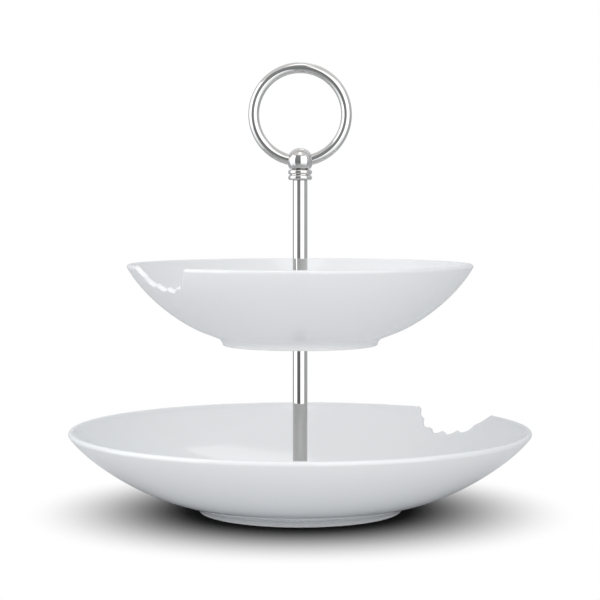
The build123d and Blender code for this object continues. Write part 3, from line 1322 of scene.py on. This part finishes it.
@dataclass(frozen=True)
class Studio:
    """A white floor and surround, soft lamps, cards for the metal, and the camera."""

    fill: Span = (0.62, 0.72)  # from below and from above
    fill_colour: Colour = (0.97, 0.985, 1.0, 1.0)
    horizon: Span = (-0.35, 0.05)  # rise between the two
    floor_radius: float = 155.0
    floor_hole: float = 1.0
    floor_columns: int = 128
    floor_colour: Colour = (0.70, 0.72, 0.74, 1.0)
    floor_glow: float = 0.15
    # painted shadow on the floor, and painted shade close to the foot for what lights the object
    shade_colour: Colour = (0.02, 0.02, 0.02, 1.0)
    shade_radii: Span = (0.055, 0.145)  # metres
    corner_radii: Span = (0.053, 0.085)  # metres
    corner_shade: float = 0.3
    camera_place: Triple = (0.0, -919.13, 161.05)
    camera_drop: float = 3.203  # degrees
    focal_pixels: float = 1771.06
    frame_pixels: float = 600.0
    stem_column: float = 300.1
    sensor: float = 36.0
    lamps: tuple[Lamp, ...] = (
        Lamp("high_left_lamp", (-1150.0, -300.0, 1050.0), 1300.0, 7.2),
        Lamp("front_lamp", (0.0, -1500.0, 250.0), 1600.0, 8.8),
        Lamp("right_lamp", (1500.0, -900.0, 600.0), 1200.0, 1.0),
    )
    cards: tuple[Card, ...] = (
        Card("front_card", (0.34, 0.42), (-47.0, 6.0), (0.0, 50.0), PALE_BLUE),
        Card("front_low_card", (0.17, 0.34), (-47.0, 6.0), (-9.0, 0.0), PALE_BLUE),
        Card("left_card", (2.2, 2.2), (-106.0, -47.0), (-9.0, 42.0)),
        Card("right_card", (2.2, 2.2), (6.0, 66.0), (-9.0, 42.0)),
        Card("left_low_card", (0.75, 1.9), (-106.0, -47.0), (-50.0, -9.0), PALE_BLUE, 2500.0),
        Card("right_low_card", (0.75, 1.9), (6.0, 66.0), (-50.0, -9.0), PALE_BLUE, 2500.0),
        Card("front_under_card", (0.60, 0.30), (-47.0, 6.0), (-50.0, -9.0), PALE_BLUE, 2500.0),
        Card("back_card", (0.60, 1.0), (66.0, 254.0), (-9.0, 40.0), PALE_BLUE),
        Card("top_card", (2.2, 2.2), (-30.0, 30.0), (58.0, 84.0)),
        Card("back_top_card", (2.0, 2.0), (158.0, 182.0), (44.0, 57.0)),
        Card("low_card", (0.78, 0.62), (0.0, 360.0), (-89.0, -9.0), PALE_BLUE),
    )

    def surround(self) -> None:
        """A white world for what is seen, and a softer fill for what it lights."""
        graph = ShaderGraph(bpy.data.worlds.new("white_surround"), "ShaderNodeOutputWorld")
        way = graph.add("ShaderNodeTexCoord").outputs["Generated"]
        rise = graph.add("ShaderNodeSeparateXYZ", {0: way}).outputs["Z"]
        level = graph.ramp(rise, self.horizon, self.fill)
        fill = graph.add("ShaderNodeBackground", {"Color": self.fill_colour, "Strength": level})
        white = graph.add("ShaderNodeBackground", {"Color": WHITE})
        graph.surface("ShaderNodeMixShader", {0: graph.seen(), 1: fill, 2: white})
        bpy.context.scene.world = graph.owner

    def floor(self) -> None:
        """A round light table that fades into the white surround, with a painted shadow where it
        doesn't.

        Its cover is one less a smooth step of the radius. What lights the object sees the table pale
        and faintly glowing, with painted shade close to the foot, and what is seen is its painted
        shadow.
        """
        rings = lathe(np.array(((self.floor_radius, 0.0), (self.floor_hole, 0.0))), self.floor_columns)
        floor = skin("pale_floor", rings, Ends.OPEN)
        graph = ShaderGraph(bpy.data.materials.new("pale_floor"))
        reach = graph.add("ShaderNodeVectorMath", {0: graph.place()}, operation="LENGTH")
        radius = reach.outputs["Value"]
        fade = graph.ramp(radius, self.shade_radii, interpolation_type="SMOOTHSTEP")
        corner = graph.ramp(radius, self.corner_radii, (self.corner_shade, 0.0))
        shade = graph.add("ShaderNodeBsdfDiffuse", {"Color": self.shade_colour})
        pale = graph.add("ShaderNodeBsdfDiffuse", {"Color": self.floor_colour})
        glow = graph.add("ShaderNodeEmission", {"Color": PALE_BLUE, "Strength": self.floor_glow})
        plain = graph.add("ShaderNodeAddShader", {0: pale, 1: glow})
        # painted shadow for what is seen, and painted shade near the foot for what lights the object
        dark = graph.larger(graph.seen(), corner)
        table = graph.add("ShaderNodeMixShader", {0: dark, 1: plain, 2: shade})
        clear = graph.add("ShaderNodeBsdfTransparent")
        graph.surface("ShaderNodeMixShader", {0: fade, 1: table, 2: clear})
        floor.data.materials.append(graph.owner)

    def camera(self) -> None:
        """The camera, a little higher than the upper dish's rim and tilted a little down."""
        lens = bpy.data.cameras.new("front_camera")
        lens.sensor_width = self.sensor
        lens.lens = self.focal_pixels * self.sensor / self.frame_pixels
        lens.shift_x = 0.5 - self.stem_column / self.frame_pixels
        camera = put("front_camera", lens)
        camera.location = tuple(value * MM for value in self.camera_place)
        camera.rotation_euler = (math.radians(90 - self.camera_drop), 0, 0)
        bpy.context.scene.camera = camera

    def build(self) -> None:
        """Set up the surround, floor, lamps, cards, camera and view."""
        self.surround()
        self.floor()
        for fitting in self.lamps + self.cards:
            fitting.build()
        self.camera()
        bpy.context.scene.view_settings.view_transform = "Standard"


LOWER_DISH = Dish(
    node="lower_dish",
    bite=Bite(
        angle=40.5,
        half_width=28.2,
        depth=15.0,
        lean=0.1,
        tooth_width=10.3,
        tooth_depth=3.4,
        tooth_shift=2.0,
    ),
    rim_thickness=3.0,
    rim_slope=52.8,
    foot_radius=53.0,
    foot_width=5.0,
    foot_rounding=0.7,
    hollow_radius=6.0,
    straight_slope=17.0,
    wall_foot=(55.2, 4.47),
    foot_slope=6.9,
    recess_height=4.4,
    floor_height=8.8,
    floor_inset=2.1,
    outer_pulls=(25.2, 17.0),
    inner_pulls=(23.2, 16.7),
)
UPPER_DISH = Dish(
    node="upper_dish",
    bite=Bite(
        angle=217.5,
        half_width=20.75,
        depth=11.8,
        lean=0.11,
        tooth_width=8.0,
        tooth_depth=2.6,
        tooth_shift=0.75,
    ),
    rim_thickness=2.6,
    rim_slope=60.3,
    foot_radius=40.4,
    foot_width=4.5,
    foot_rounding=0.7,
    hollow_radius=5.0,
    straight_slope=21.0,
    wall_foot=(43.06, 4.5),
    foot_slope=9.8,
    recess_height=4.4,
    floor_height=8.6,
    floor_inset=0.5,
    outer_pulls=(13.6, 20.6),
    inner_pulls=(10.9, 20.2),
)


def main() -> None:
    """Build the stand from the foot up, then the studio around it."""
    logging.basicConfig(level=logging.INFO, format="%(name)s: %(message)s")
    LOWER_DISH.dress()
    UPPER_DISH.dress()
    Seals().dress()
    Stem().dress()
    Handle().dress()
    Studio().build()


if __name__ == "__main__":
    main()
